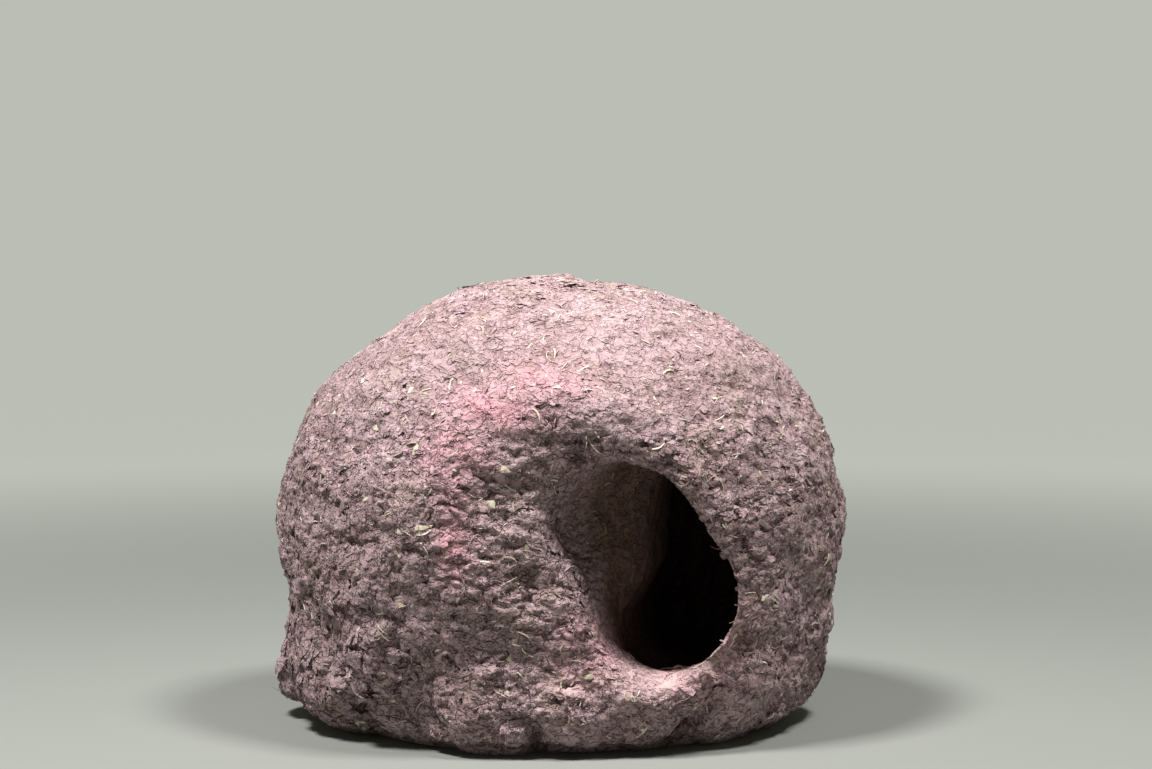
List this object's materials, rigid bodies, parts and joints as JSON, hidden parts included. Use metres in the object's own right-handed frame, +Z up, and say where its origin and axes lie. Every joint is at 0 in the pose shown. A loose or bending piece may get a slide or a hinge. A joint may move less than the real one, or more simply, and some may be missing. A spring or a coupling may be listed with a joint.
{
  "type": "mud bird nest",
  "caption": "Domed bird nest of dried mud and chopped straw; its side mouth winds inwards past a partition to the nest room.",
  "frame": {"origin": "middle of the nest's outline seen from above, at the height of the flat face it rests on", "axes": "+Z up, -Y towards whoever looks into the mouth, +X to their right"},
  "size_m": [0.281, 0.2454, 0.2165],
  "materials": {
    "dried_mud": "rough, matt, dried mud",
    "straw": "dull, dry straw"
  },
  "bodies": {
    "root": {"mud_nest": "dried_mud"}
  },
  "joints": []
}
